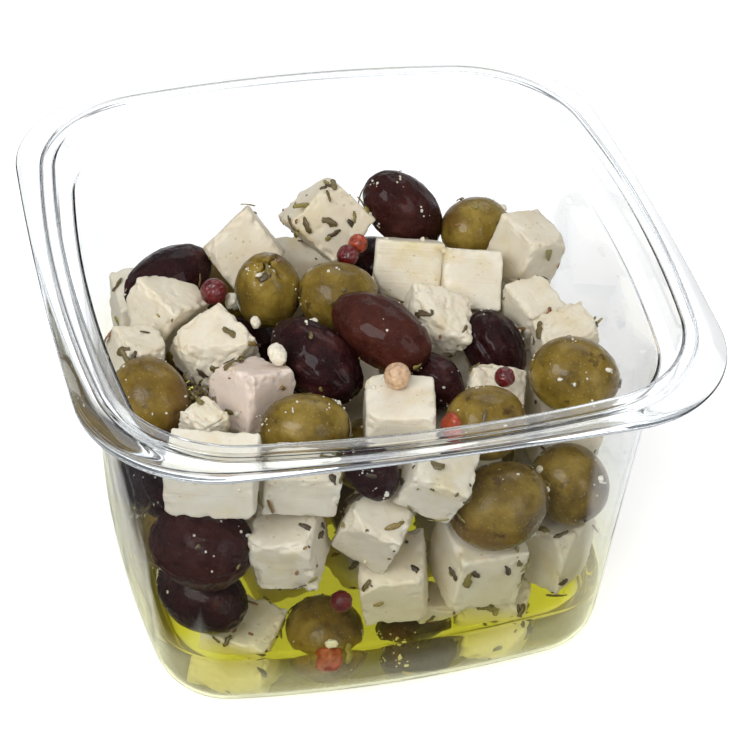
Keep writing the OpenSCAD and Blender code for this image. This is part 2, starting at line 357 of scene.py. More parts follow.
class Shader:
    """Short calls for the node tree of a material, or of the world."""

    def __init__(self, name, world=False):
        self.owner = (bpy.data.worlds if world else bpy.data.materials).new(name)
        self.owner.use_nodes = True
        self.tree = self.owner.node_tree
        self.tree.nodes.clear()
        self.out = self.node("OutputWorld" if world else "OutputMaterial")

    def node(self, kind, **inputs):
        made = self.tree.nodes.new("ShaderNode" + kind)
        for key, value in inputs.items():
            key = key.replace("_", " ")
            if key in made.inputs:
                self.feed(made.inputs[key], value)
            else:
                setattr(made, key.replace(" ", "_"), value)
        return made

    def feed(self, socket, value):
        if isinstance(value, bpy.types.NodeSocket):
            self.tree.links.new(value, socket)
        else:
            socket.default_value = value

    def coords(self):
        return self.node("TexCoord").outputs["Object"]

    def noise(self, scale, detail=3.0, roughness=0.55, vector=None):
        made = self.node("TexNoise", Scale=scale, Detail=detail, Roughness=roughness)
        self.feed(made.inputs["Vector"], vector or self.coords())
        return made.outputs["Fac"]

    def cells(self, scale):
        made = self.node("TexVoronoi", Scale=scale)
        self.feed(made.inputs["Vector"], self.coords())
        return made.outputs["Distance"]

    def ramp(self, value, *stops):
        """A colour ramp. Each stop is (position, colour)."""
        made = self.node("ValToRGB")
        self.feed(made.inputs["Fac"], value)
        elements = made.color_ramp.elements
        while len(elements) < len(stops):
            elements.new(0.5)
        for element, (position, colour) in zip(elements, stops):
            element.position = position
            element.color = (*colour, 1) if len(colour) == 3 else colour
        return made.outputs["Color"]

    def grey(self, value, low, high, start=0.0, end=1.0):
        made = self.node("MapRange")
        self.feed(made.inputs["Value"], value)
        made.inputs["From Min"].default_value = start
        made.inputs["From Max"].default_value = end
        made.inputs["To Min"].default_value = low
        made.inputs["To Max"].default_value = high
        return made.outputs["Result"]

    def mix(self, factor, a, b, mode="MIX"):
        made = self.node("Mix")
        made.data_type = "RGBA"
        made.blend_type = mode
        self.feed(made.inputs[0], factor)
        self.feed(made.inputs[6], (*a, 1) if isinstance(a, tuple) and len(a) == 3 else a)
        self.feed(made.inputs[7], (*b, 1) if isinstance(b, tuple) and len(b) == 3 else b)
        return made.outputs[2]

    def math(self, operation, a, b=0.0):
        made = self.node("Math")
        made.operation = operation
        self.feed(made.inputs[0], a)
        self.feed(made.inputs[1], b)
        return made.outputs[0]

    def attribute(self, name):
        made = self.node("Attribute")
        made.attribute_name = name
        return made.outputs["Fac"]

    def lines(self, value, scale):
        """Noise that varies with one value only, so it draws parallel lines."""
        made = self.node("TexNoise", Detail=4.0, Roughness=0.6, Scale=scale)
        made.noise_dimensions = "1D"
        self.feed(made.inputs["W"], value)
        return made.outputs["Fac"]

    def bump(self, height, distance, strength=1.0, normal=None):
        made = self.node("Bump", Strength=strength, Distance=distance)
        self.feed(made.inputs["Height"], height)
        if normal is not None:
            self.feed(made.inputs["Normal"], normal)
        return made.outputs["Normal"]

    def finish(self, surface):
        self.tree.links.new(surface, self.out.inputs["Surface"])
        return self.owner

    def principled(self, **inputs):
        made = self.node("BsdfPrincipled")
        for key, value in inputs.items():
            self.feed(made.inputs[key.replace("_", " ")], value)
        return made.outputs[0]


def feta_material(name, cream, warm):
    s = Shader(name)
    tone = s.attribute("tone")
    blotch = s.noise(180, 4, 0.6)
    colour = s.ramp(blotch, (0.3, warm), (0.62, cream))
    stain = s.ramp(s.noise(95, 3), (0.56, (1, 1, 1)), (0.78, (0.92, 0.86, 0.64)))
    colour = s.mix(1.0, colour, stain, "MULTIPLY")
    shade = s.ramp(tone, (0.0, (0.93, 0.9, 0.85)), (1.0, (1, 1, 1)))
    colour = s.mix(1.0, colour, shade, "MULTIPLY")
    # Fine lines that the knife leaves, on some blocks more than on others.
    cuts = s.lines(s.attribute("cut"), 1500)
    cuts = s.math("MULTIPLY", cuts, s.grey(tone, 0.15, 1.0))
    # Small holes, in patches, painted darker inside as painted shade.
    pits = s.ramp(s.cells(700), (0.06, (0.0,) * 3), (0.24, (1.0,) * 3))
    patch = s.ramp(s.noise(210, 2), (0.5, (1,) * 3), (0.62, (0,) * 3))
    holes = s.mix(patch, pits, (1.0, 1.0, 1.0))
    # Painted shade: the holes are coloured a darker cream where shade falls in them.
    colour = s.mix(1.0, colour, s.mix(holes, (0.78, 0.72, 0.58), (1, 1, 1)), "MULTIPLY")
    height = s.math("ADD", s.math("MULTIPLY", s.noise(2400, 5, 0.65), 0.5), holes)
    normal = s.bump(height, 0.00026, 0.5)
    normal = s.bump(cuts, 0.0003, 0.45, normal)
    rough = s.grey(s.noise(140, 2), 0.34, 0.62, 0.35, 0.65)
    return s.finish(s.principled(
        Base_Color=colour, Roughness=rough, Normal=normal, Subsurface_Weight=0.3,
        Subsurface_Radius=(1.0, 0.75, 0.5), Subsurface_Scale=0.0018, Specular_IOR_Level=0.45,
        Coat_Weight=0.1, Coat_Roughness=0.22))


def green_olive_material():
    s = Shader("green_olive_skin")
    base = s.ramp(s.noise(130, 5, 0.62), (0.32, (0.09, 0.056, 0.01)), (0.5, (0.2, 0.134, 0.021)),
                  (0.68, (0.32, 0.228, 0.045)))
    shade = s.ramp(s.attribute("tone"), (0.0, (0.82, 0.7, 0.6)), (0.5, (1, 1, 1)), (1.0, (1.15, 1.12, 1.0)))
    base = s.mix(1.0, base, shade, "MULTIPLY")
    bruise = s.ramp(s.noise(70, 3), (0.56, (0, 0, 0)), (0.7, (1, 1, 1)))
    base = s.mix(s.math("MULTIPLY", bruise, 0.55), base, (0.14, 0.066, 0.024))
    scars = s.ramp(s.noise(300, 3, 0.6), (0.61, (0, 0, 0)), (0.69, (1, 1, 1)))
    base = s.mix(s.math("MULTIPLY", scars, 0.75), base, (0.06, 0.032, 0.012))
    dots = s.ramp(s.cells(950), (0.05, (1, 1, 1)), (0.2, (0, 0, 0)))
    base = s.mix(s.math("MULTIPLY", dots, 0.5), base, (0.5, 0.42, 0.2))
    normal = s.bump(s.noise(380, 5, 0.62), 0.0008, 0.4)
    normal = s.bump(dots, 0.00012, 0.7, normal)
    rough = s.grey(s.noise(200, 3), 0.24, 0.46, 0.35, 0.65)
    return s.finish(s.principled(
        Base_Color=base, Roughness=rough, Normal=normal, Subsurface_Weight=0.1,
        Subsurface_Radius=(1.0, 0.8, 0.3), Subsurface_Scale=0.002, Specular_IOR_Level=0.18,
        Coat_Weight=0.3, Coat_Roughness=0.08, Coat_IOR=1.4))


def kalamata_material():
    s = Shader("kalamata_skin")
    base = s.ramp(s.noise(140, 5, 0.65), (0.32, (0.008, 0.0018, 0.002)), (0.55, (0.024, 0.005, 0.006)),
                  (0.72, (0.07, 0.02, 0.017)))
    maroon = s.ramp(s.noise(130, 3), (0.3, (0.035, 0.007, 0.005)), (0.7, (0.092, 0.024, 0.014)))
    redness = s.ramp(s.attribute("tone"), (0.6, (0, 0, 0)), (0.9, (1, 1, 1)))
    base = s.mix(redness, base, maroon)
    flecks = s.ramp(s.cells(800), (0.03, (1, 1, 1)), (0.12, (0, 0, 0)))
    base = s.mix(s.math("MULTIPLY", flecks, 0.35), base, (0.34, 0.24, 0.22))
    normal = s.bump(s.noise(330, 6, 0.62), 0.0018, 0.7)
    rough = s.grey(s.noise(260, 3), 0.24, 0.42, 0.35, 0.65)
    return s.finish(s.principled(
        Base_Color=base, Roughness=rough, Normal=normal, Specular_IOR_Level=0.08,
        Coat_Weight=0.34, Coat_Roughness=0.06, Coat_IOR=1.33))


def pimento_material():
    s = Shader("pimento_flesh")
    base = s.ramp(s.noise(500, 4), (0.3, (0.2, 0.016, 0.006)), (0.7, (0.46, 0.075, 0.02)))
    normal = s.bump(s.noise(900, 4), 0.0004, 0.6)
    return s.finish(s.principled(
        Base_Color=base, Roughness=0.3, Normal=normal, Subsurface_Weight=0.2,
        Subsurface_Radius=(1.0, 0.3, 0.15), Subsurface_Scale=0.0015, Coat_Weight=0.4,
        Coat_Roughness=0.15))


def pepper_material():
    """Husks from dark red, at a low tone, through orange to pale, at a high one."""
    s = Shader("peppercorn_husk")
    shade = s.ramp(s.attribute("tone"), (0.3, (0.14, 0.005, 0.008)), (0.5, (0.42, 0.06, 0.02)),
                   (0.9, (0.68, 0.45, 0.27)))
    dark = s.mix(s.ramp(s.attribute("tone"), (0.5, (0,) * 3), (0.9, (1,) * 3)),
                 (0.03, 0.006, 0.006), (0.3, 0.17, 0.09))
    base = s.mix(s.ramp(s.noise(650, 4), (0.45, (0,) * 3), (0.65, (0.7,) * 3)), shade, dark)
    normal = s.bump(s.noise(1500, 4), 0.0003, 0.5)
    return s.finish(s.principled(
        Base_Color=base, Roughness=0.36, Normal=normal, Coat_Weight=0.4, Coat_Roughness=0.15))


def herb_material():
    s = Shader("dried_herb")
    base = s.ramp(s.attribute("tone"), (0.0, (0.045, 0.03, 0.015)), (0.3, (0.12, 0.08, 0.028)),
                  (0.6, (0.2, 0.155, 0.04)), (0.85, (0.36, 0.3, 0.075)), (1.0, (0.33, 0.12, 0.05)))
    base = s.mix(s.ramp(s.noise(1800, 3), (0.45, (0,) * 3), (0.7, (0.6,) * 3)), base, (0.05, 0.035, 0.014))
    normal = s.bump(s.noise(2500, 3), 0.0002, 0.6)
    return s.finish(s.principled(
        Base_Color=base, Roughness=0.5, Normal=normal, Coat_Weight=0.25, Coat_Roughness=0.2))


def clear_surface(s, ior, tint, ripple):
    """A surface that bends what the camera sees and lets lamplight straight through."""
    glass = s.node("BsdfGlass", IOR=ior, Color=tint, Roughness=0.0)
    s.feed(glass.inputs["Normal"], s.bump(s.noise(55, 2, 0.4), 0.0012, ripple))
    through = s.node("BsdfTransparent", Color=tint)
    path = s.node("LightPath")
    straight = s.math("MAXIMUM", path.outputs["Is Shadow Ray"], path.outputs["Is Diffuse Ray"])
    mixed = s.node("MixShader")
    s.feed(mixed.inputs[0], straight)
    s.feed(mixed.inputs[1], glass.outputs[0])
    s.feed(mixed.inputs[2], through.outputs[0])
    return mixed.outputs[0]


def plastic_material():
    """Clear formed sheet, with a faint film of oil on its lower walls."""
    s = Shader("clear_formed_plastic")
    split = s.node("SeparateXYZ")
    s.feed(split.inputs[0], s.coords())
    height = s.math("ADD", split.outputs["Z"], s.grey(s.noise(90, 4), -0.012, 0.012))
    wet = s.grey(height, 1.0, 0.0, OIL_LEVEL, OIL_LEVEL + 0.03)
    tint = s.mix(wet, (0.982, 0.99, 0.996), (0.97, 0.975, 0.88))
    return s.finish(clear_surface(s, 1.5, tint, 0.08))


def oil_material():
    """Clear yellow-green oil. Its body takes up blue light over a few millimetres, and has a painted glow.
    """
    s = Shader("herb_oil")
    volume = s.node("VolumeAbsorption")
    path = s.node("LightPath")
    lamp = s.math("MAXIMUM", path.outputs["Is Shadow Ray"], path.outputs["Is Diffuse Ray"])
    s.feed(volume.inputs["Density"], s.grey(lamp, OIL_DENSITY, LAMP_SHARE * OIL_DENSITY))
    s.feed(volume.inputs["Color"], (*OIL_BODY, 1))
    # A painted glow brightens the oil's body, in place of light scattered by fine bits of herb and cheese.
    painted_glow = s.node("Emission", Color=OIL_GLOW_COLOUR, Strength=OIL_GLOW)
    both = s.node("AddShader")
    s.feed(both.inputs[0], volume.outputs[0])
    s.feed(both.inputs[1], painted_glow.outputs[0])
    s.tree.links.new(both.outputs[0], s.out.inputs["Volume"])
    return s.finish(clear_surface(s, 1.46, (0.995, 0.99, 0.93, 1), 0.15))


OIL_LEVEL = 17 * MM
OIL_GAP = 0.04 * MM
OIL_CREEP = 1.1 * MM
# How much the oil takes up, and the share of that which lamplight meets.
OIL_DENSITY = 130.0
LAMP_SHARE = 0.04
OIL_BODY = (0.94, 0.925, 0.01)
# Colour and strength of the oil's painted glow.
OIL_GLOW_COLOUR = (0.9, 0.8, 0.02, 1)
OIL_GLOW = 3.4

FETA = feta_material("feta_cheese", (0.83, 0.775, 0.64), (0.76, 0.68, 0.52))
PINK_FETA = feta_material("pink_feta_cheese", (0.86, 0.76, 0.7), (0.82, 0.7, 0.62))
GREEN = green_olive_material()
KALAMATA = kalamata_material()
PIMENTO = pimento_material()
PEPPER = pepper_material()
HERB = herb_material()
PLASTIC = plastic_material()
OIL = oil_material()


# ---------------------------------------------------------------- build the food

surfaces = []  # (node, kind, points, outward normals) of every soft piece, for what sticks to it

CRUMBLY = {"feta_07": 1.4, "feta_08": 1.2, "feta_10": 1.5, "feta_12": 1.7, "feta_13": 1.5, "feta_15": 1.6}
SHARP = {"feta_04": 0.45, "feta_05": 0.45, "feta_14": 0.4, "feta_16": 0.5}
HOLE_RADIUS = 2.9 * MM
SLIT_RADIUS = 1.1 * MM
HOLE_DEPTH = 5 * MM
# How pointed the far end is, and how deep the wrinkles are.
GREEN_TIP, GREEN_WRINKLE = 0.92, 0.35
KALAMATA_TIP, KALAMATA_WRINKLE = 1.14, 0.9
PIMENTO_IN = {"pimento_top": "green_olive_05", "pimento_front": "green_olive_10"}
# Tones above 0.6 turn a kalamata's skin maroon.
MAROON = {"kalamata_04": 0.92, "kalamata_01": 0.68, "kalamata_08": 0.72}
WRINKLED = {"kalamata_05": 1.8, "kalamata_08": 1.5, "kalamata_03": 1.3}


def piece_rng(name, index=0):
    return np.random.default_rng([SEED, index] + [ord(c) for c in name])


def keep_surface(node, kind, points, centre):
    surfaces.append((node, kind, points, unit(points - centre)))


def build_feta(node):
    parts = []
    solids = loose_parts(node)
    cells = FINE_CELLS if len(solids) == 1 else COARSE_CELLS
    for i, (points, normals) in enumerate(solids):
        rng = piece_rng(node, i)
        centre, axes, half = block_place(points, normals)
        crumble = CRUMBLY.get(node, SHARP.get(node, rng.uniform(0.6, 1.1)))
        p, quads, cut = feta_shape(centre, axes, half, rng, cells, crumble)
        keep_surface(node, "feta", p, centre)
        tone = 1.0 if node in SHARP else rng.uniform(0, 0.8)
        parts.append((p, quads, tone, cut))
    return parts


def build_green(node):
    parts = []
    solids = loose_parts(node)
    for i, (points, _) in enumerate(solids):
        rng = piece_rng(node, i)
        place = olive_place(points)
        stuffed = node in PIMENTO_IN.values()
        slits = node == "green_olive_02"
        hole = HOLE_RADIUS if stuffed else SLIT_RADIUS if slits else 0.0
        p, faces = olive_shape(place, rng, len(solids) == 1, GREEN_TIP, GREEN_WRINKLE, hole, slits)
        keep_surface(node, "green", p, place[0])
        parts.append((p, faces, rng.uniform(0, 1), 0.0))
    return parts


def build_kalamata(node):
    parts = []
    solids = loose_parts(node)
    for i, (points, _) in enumerate(solids):
        rng = piece_rng(node, i)
        place = olive_place(points)
        wrinkle = WRINKLED.get(node, KALAMATA_WRINKLE)
        p, faces = olive_shape(place, rng, len(solids) == 1, KALAMATA_TIP, wrinkle)
        keep_surface(node, "kalamata", p, place[0])
        parts.append((p, faces, MAROON.get(node, rng.uniform(0, 0.6)), 0.0))
    return parts


def build_pimento(node):
    """A soft plug that swells out of the olive's hole."""
    points, _ = loose_parts(node)[0]
    centre, axes, half = olive_place(points)
    olive, _ = loose_parts(PIMENTO_IN[node])[0]
    if axes[:, 0] @ (centre - olive.mean(0)) < 0:
        axes = axes * np.array([-1, -1, 1])
    rng = piece_rng(node)
    length, radius = half[0], HOLE_RADIUS * 1.01
    dome = [(length + 1.5 * MM * math.cos(a), radius * math.sin(a))
            for a in np.linspace(math.pi / 2, 0, 10)]
    section = [(-length, 0.0), (-length, radius * 0.8), (0.0, radius * 0.9)] + dome[:-1]
    section.append((dome[-1][0], 0.0))
    p, faces = revolved(section, 40)
    p = p + unit(p) * (noise_at(p, 1.6 * MM, rng.uniform(0, 9)) * 0.5 * MM)[:, None]
    return [(p @ axes.T + centre, faces, 0.5, 0.0)]


def box_middle(node):
    low, high = (np.array(c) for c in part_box(node))
    return (low + high) / 2


def build_pepper(node):
    """Dark red peppercorns. The one beside feta_02 is orange, and the one on feta_14 is pale."""
    solids = loose_parts(node)
    middles = [(points.max(0) + points.min(0)) / 2 for points, _ in solids]
    pale = min(range(len(solids)), key=lambda i: np.linalg.norm(middles[i] - box_middle("feta_14")))
    orange = min(range(len(solids)), key=lambda i: np.linalg.norm(middles[i] - box_middle("feta_02")))
    parts = []
    for i, (points, _) in enumerate(solids):
        radius = (points.max(0) - points.min(0)).max() / 2
        p, quads = pepper_shape(middles[i], radius, piece_rng(node, i))
        tone = 1.0 if i == pale else 0.5 if i == orange else 0.2
        parts.append((p, quads, tone, 0.0))
    return parts


def build_food():
    slots = {s["node"]: s["material_slot"] for s in frame["record"]["subparts"]}
    kinds = {
        "feta": (build_feta, FETA), "pink_feta": (build_feta, PINK_FETA),
        "green_olive": (build_green, GREEN), "kalamata": (build_kalamata, KALAMATA),
        "pimento": (build_pimento, PIMENTO), "peppercorn": (build_pepper, PEPPER),
    }
    for node in sorted(NODES):
        slot = slots[node]
        if slot in kinds:
            build, material = kinds[slot]
            piece = add_piece(node + "_look", build(node), material, "food")
            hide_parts(node)


# ---------------------------------------------------------------- what sticks to the food

# How many herb flakes lie on a piece, where it isn't the usual number.
HERBS_ON = {
    "feta_02": 34, "feta_11": 20, "feta_12": 12, "feta_17": 10, "feta_18": 18, "feta_19": 20,
    "feta_20": 18, "feta_21": 13, "feta_24": 18, "feta_25": 22, "feta_08": 10, "feta_07": 10,
    "feta_04": 1, "feta_05": 1, "feta_14": 3, "feta_16": 2, "feta_03": 2, "feta_01": 4,
}
USUAL_HERBS = {"feta": (5, 11), "green": (3, 7), "kalamata": (2, 5)}
USUAL_CRUMBS = {"feta": (3, 7), "green": (18, 42), "kalamata": (12, 30)}
# Piece, foot of the stem in mm, way it points, how many, and radius in mm.
STEMS = (("feta_02", (-0.7, 38, 68.6), (-0.8, -0.1, 0.75), 1, 0.75),
         ("feta_07", (50.9, -8, 61.7), (0.4, 0.1, 0.9), 3, 0.4))
# Middle and spread in mm of a clump of herbs.
CLUMP = (-36.8, -12.5, 58)
CLUMP_SPREAD = (1.8, 2.8, 2.2)
CLUMP_LEAVES = 130
# Sizes of leaves in mm, and the share of them that are short.
SHORT_LEAF, LONG_LEAF, LEAF_WIDTH = (0.6, 1.4), (2.0, 4.8), (0.8, 2.7)
SHORT_SHARE = 0.36
LEAF_THICK = 0.2 * MM
# Radii of crumbs in mm, and how many of them are how much larger.
CRUMB_RADIUS = (0.1, 0.34)
LARGER, LARGER_SHARE = 2.4, 0.16
# How often the next crumb on a piece lies somewhere else.
STRAY_SHARE = 0.45
# Middle and size in mm of the crumbs too large to cling.
LARGE_CRUMBS = (((-23.6, 14, 62.1), (1.5, 1.5, 2.6)), ((-19.2, -11, 66.6), (2.6, 1.8, 2.7)),
                ((-14.7, -49.2, 19), (1.8, 0.8, 0.9)), ((-20, 5.5, 62), (1.8, 1.4, 1.4)))


def flake(length, width, thick, rng):
    """A thin torn leaf along x, a little curled and closed on all sides."""
    stations = np.linspace(-1, 1, 7)
    curl = rng.uniform(-0.04, 0.12)
    torn = rng.uniform(0.45, 1.0, (len(stations), 2))
    points, faces = [], []
    for s, (left, right) in zip(stations, torn):
        w = width / 2 * (0.45 + 0.55 * math.sqrt(max(1 - s * s, 0)))
        x, z = s * length / 2, curl * length * (1 - s * s)
        points += [(x, -w * left, z), (x, w * right, z)]
        points += [(x, w * right * 0.85, z + thick), (x, -w * left * 0.85, z + thick)]
    for i in range(len(stations) - 1):
        a, b = 4 * i, 4 * (i + 1)
        for k in range(4):
            n = (k + 1) % 4
            faces.append((a + k, b + k, b + n, a + n))
    last = 4 * (len(stations) - 1)
    faces += [(0, 1, 2, 3), (last + 3, last + 2, last + 1, last)]
    return np.array(points), faces


def stalk(start, direction, length, radius, rng):
    """A thin bent stem."""
    side = unit(np.cross(direction, (0.3, 0.2, 1.0)))
    other = np.cross(direction, side)
    bow = rng.normal(0, 0.12, 2)
    points, faces, sides, stations = [], [], 7, 7
    for i in range(stations):
        t = i / (stations - 1)
        middle = start + direction * length * t + (side * bow[0] + other * bow[1]) * length * t * t
        r = radius * (1 - 0.35 * t)
        for k in range(sides):
            a = 2 * math.pi * k / sides
            points.append(middle + (side * math.cos(a) + other * math.sin(a)) * r)
    for i in range(stations - 1):
        for k in range(sides):
            n = (k + 1) % sides
            faces.append((i * sides + k, i * sides + n, (i + 1) * sides + n, (i + 1) * sides + k))
    faces += [tuple(range(sides))[::-1], tuple(range(len(points) - sides, len(points)))]
    return np.array(points), faces


def seat(normal, rng):
    """Axes of something that lies on a surface with that normal, turned at random."""
    side = unit(np.cross(normal, rng.normal(size=3)))
    return np.column_stack([side, np.cross(normal, side), normal])


def on_surface(rng, points, normals):
    """A random point of a piece that faces up or out."""
    for _ in range(40):
        i = rng.integers(len(points))
        outward = unit(points[i] * np.array([1, 1, 0]))
        if normals[i][2] > 0 or normals[i] @ outward > 0.4:
            break
    return points[i], normals[i]


def build_herbs():
    """Leaves on the food, a clump of them, and the stems."""
    parts = []
    rng = np.random.default_rng(SEED)
    for node, kind, points, normals in surfaces:
        for _ in range(HERBS_ON.get(node, rng.integers(*USUAL_HERBS[kind]))):
            at, normal = on_surface(rng, points, normals)
            lengths = [rng.uniform(*SHORT_LEAF), rng.uniform(*LONG_LEAF)]
            length = rng.choice(lengths, p=[SHORT_SHARE, 1 - SHORT_SHARE]) * MM
            width = min(rng.uniform(*LEAF_WIDTH) * MM, length * 0.75)
            leaf, faces = flake(length, width, LEAF_THICK, rng)
            p = leaf @ seat(normal, rng).T + at + normal * rng.uniform(-0.08, 0.1) * MM
            parts.append((p, faces, rng.uniform(0, 1), 0.0))
    # A clump lies in the hollow between green_olive_07, feta_11 and feta_15.
    for _ in range(CLUMP_LEAVES):
        leaf, faces = flake(rng.uniform(1, 3) * MM, rng.uniform(0.6, 1.4) * MM, LEAF_THICK, rng)
        middle = np.array(CLUMP) * MM + rng.normal(0, 1, 3) * np.array(CLUMP_SPREAD) * MM
        p = leaf @ seat(unit(rng.normal(size=3)), rng).T + middle
        parts.append((p, faces, rng.uniform(0, 0.7), 0.0))
    # A stem leans off the left of feta_02, and small sprigs stand on feta_07.
    for node, foot, direction, count, radius in STEMS:
        points = next(p for name, _, p, _ in surfaces if name == node)
        foot = np.array(foot) * MM
        foot = points[np.linalg.norm(points - foot, axis=1).argmin()]
        for _ in range(count):
            way = unit(np.array(direction) + rng.normal(0, 0.15, 3))
            start = foot + rng.normal(0, 0.5, 3) * MM - way * 1.5 * MM
            length = 5.2 * MM if count == 1 else rng.uniform(2.4, 3.6) * MM
            p, faces = stalk(start, way, length, radius * MM, rng)
            parts.append((p, faces, rng.uniform(0.75, 0.9), 0.0))
    add_piece("herb_flakes", parts, HERB, "food")


def crumb(size, rng, cells=CRUMB_CELLS):
    """A lumpy crumb about its own middle."""
    points, quads = GRIDS[cells]
    p = unit(points) * size * rng.uniform(0.55, 1.25, 3)
    broad = np.mean(size)
    lumps = 0.32 * noise_at(p, broad * 0.9, rng.uniform(0, 40))
    lumps += 0.16 * noise_at(p, broad * 0.35, rng.uniform(0, 40))
    return p * (1 + lumps)[:, None], quads


def build_crumbs():
    """Specks of feta that cling to the food, and a few larger crumbs in its hollows."""
    parts = []
    rng = np.random.default_rng(SEED + 1)
    for _, kind, points, normals in surfaces:
        count = rng.integers(*USUAL_CRUMBS[kind])
        at, normal = on_surface(rng, points, normals)
        for _ in range(count):
            if rng.uniform() < STRAY_SHARE:
                at, normal = on_surface(rng, points, normals)
            near = at + np.cross(normal, rng.normal(size=3)) * 0.9 * MM
            near = points[np.linalg.norm(points - near, axis=1).argmin()]
            size = rng.uniform(*CRUMB_RADIUS) * MM * (LARGER if rng.uniform() < LARGER_SHARE else 1)
            p, quads = crumb(size, rng)
            parts.append((p + near, quads, 0.9, 0.0))
    for middle, size in LARGE_CRUMBS:
        p, quads = crumb(np.array(size) * MM, rng, COARSE_CELLS)
        parts.append((p + np.array(middle) * MM, quads, 0.9, 0.0))
    add_piece("feta_crumbs", parts, FETA, "food")


# ---------------------------------------------------------------- the tub

FLANGE_HALF, _, TUB_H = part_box("tub")[1]
SHEET = 0.6 * MM
OPENING_HALF = 60 * MM
CORNER_R = 24.7 * MM
SIDE_R = 270 * MM
FLANGE_CORNER_R = 27.6 * MM
FLANGE_SIDE_R = 900 * MM
BEAD_OUT = 63.3 * MM
BEAD_FOOT = 59.3 * MM
WALL_TOP = 56.5 * MM
BASE_HALF = 51 * MM
BASE_BEND = 10 * MM
LEDGE_Z = TUB_H - 7.4 * MM
FLANGE_Z = TUB_H - 1.9 * MM
# The wall wanders this far. Skins end in fans inside MIDDLE_R, and their cells are up to LOFT_STEP long.
WANDER = 0.16 * MM
MIDDLE_R = 12 * MM
LOFT_STEP = 5 * MM
RING_POINTS = 360
RING_ANGLES = np.arange(RING_POINTS) * 2 * math.pi / RING_POINTS


def outline(half, r, bow_r):
    """How far a square outline with bowed sides and round corners is from its middle, at each angle."""
    shift = bow_r - half
    c = (math.sqrt(2 * (bow_r - r) ** 2 - shift ** 2) - shift) / 2
    turn = math.atan2(c, c + shift)
    fold = np.abs((RING_ANGLES + math.pi / 4) % (math.pi / 2) - math.pi / 4)
    # On the bowed side, the ray at angle fold meets the circle centred at -shift.
    bow = -shift * np.cos(fold) + np.sqrt(bow_r ** 2 - (shift * np.sin(fold)) ** 2)
    # On the corner, it meets the circle centred at (c, c).
    along = c * (np.cos(fold) + np.sin(fold))
    across = c * (np.cos(fold) - np.sin(fold))
    corner = along + np.sqrt(np.maximum(r ** 2 - across ** 2, 0))
    meet = math.atan2(bow_r * math.sin(turn), bow_r * math.cos(turn) - shift)
    return np.where(fold < meet, bow, corner)


def tub_ring(half, z):
    r = outline(half, max(CORNER_R + half - OPENING_HALF, 0.5 * MM), SIDE_R + half - OPENING_HALF)
    return np.column_stack([r * np.cos(RING_ANGLES), r * np.sin(RING_ANGLES), np.full(RING_POINTS, z)])


def flange_ring(inset, z):
    r = outline(FLANGE_HALF - inset, FLANGE_CORNER_R - inset, FLANGE_SIDE_R - inset)
    return np.column_stack([r * np.cos(RING_ANGLES), r * np.sin(RING_ANGLES), np.full(RING_POINTS, z)])


def rounded_line(corners, steps=7):
    """A line through (x, z, radius) corners, with each corner turned into an arc."""
    points = [np.array(corners[0][:2])]
    for before, (x, z, r), after in zip(corners, corners[1:], corners[2:]):
        at = np.array([x, z])
        a, b = unit(np.array(before[:2]) - at), unit(np.array(after[:2]) - at)
        half_angle = math.acos(np.clip(a @ b, -1, 1)) / 2
        reach = r / math.tan(half_angle)
        centre = at + unit(a + b) * (r / math.sin(half_angle))
        start, end = at + a * reach - centre, at + b * reach - centre
        sweep = math.acos(np.clip(unit(start) @ unit(end), -1, 1))
        sign = math.copysign(1, start[0] * end[1] - start[1] * end[0])
        for k in range(steps + 1):
            t = sign * sweep * k / steps
            c, s = math.cos(t), math.sin(t)
            points.append(centre + np.array([c * start[0] - s * start[1], s * start[0] + c * start[1]]))
    points.append(np.array(corners[-1][:2]))
    return points


def loft(rings, low_middle, high_middle):
    """A closed skin over rings of points, ended by fans to two middle points."""
    verts = [low_middle] + [p for ring in rings for p in ring] + [high_middle]
    faces = []
    for k in range(RING_POINTS):
        n = (k + 1) % RING_POINTS
        faces.append((0, 1 + n, 1 + k))
        for j in range(len(rings) - 1):
            a, b = 1 + j * RING_POINTS, 1 + (j + 1) * RING_POINTS
            faces.append((a + k, a + n, b + n, b + k))
        last = 1 + (len(rings) - 1) * RING_POINTS
        faces.append((last + k, last + n, len(verts) - 1))
    return verts, faces


def wall_line(inset, z_floor, bend, stop_z):
    """The base, its bend and the tapered wall, inset from the outer face."""
    slope = (WALL_TOP - BASE_HALF) / LEDGE_Z
    foot = BASE_HALF + slope * z_floor - inset
    top = BASE_HALF + slope * stop_z - inset
    return [(MIDDLE_R, z_floor, 0), (foot, z_floor, bend), (top, stop_z, 0.5 * MM)]


def spread(points, longest):
    """Adds points so that no step of a line is longer than given."""
    out = [points[0]]
    for a, b in zip(points, points[1:]):
        n = max(1, math.ceil(np.linalg.norm(b - a) / longest))
        out += [a + (b - a) * (k + 1) / n for k in range(n)]
    return out


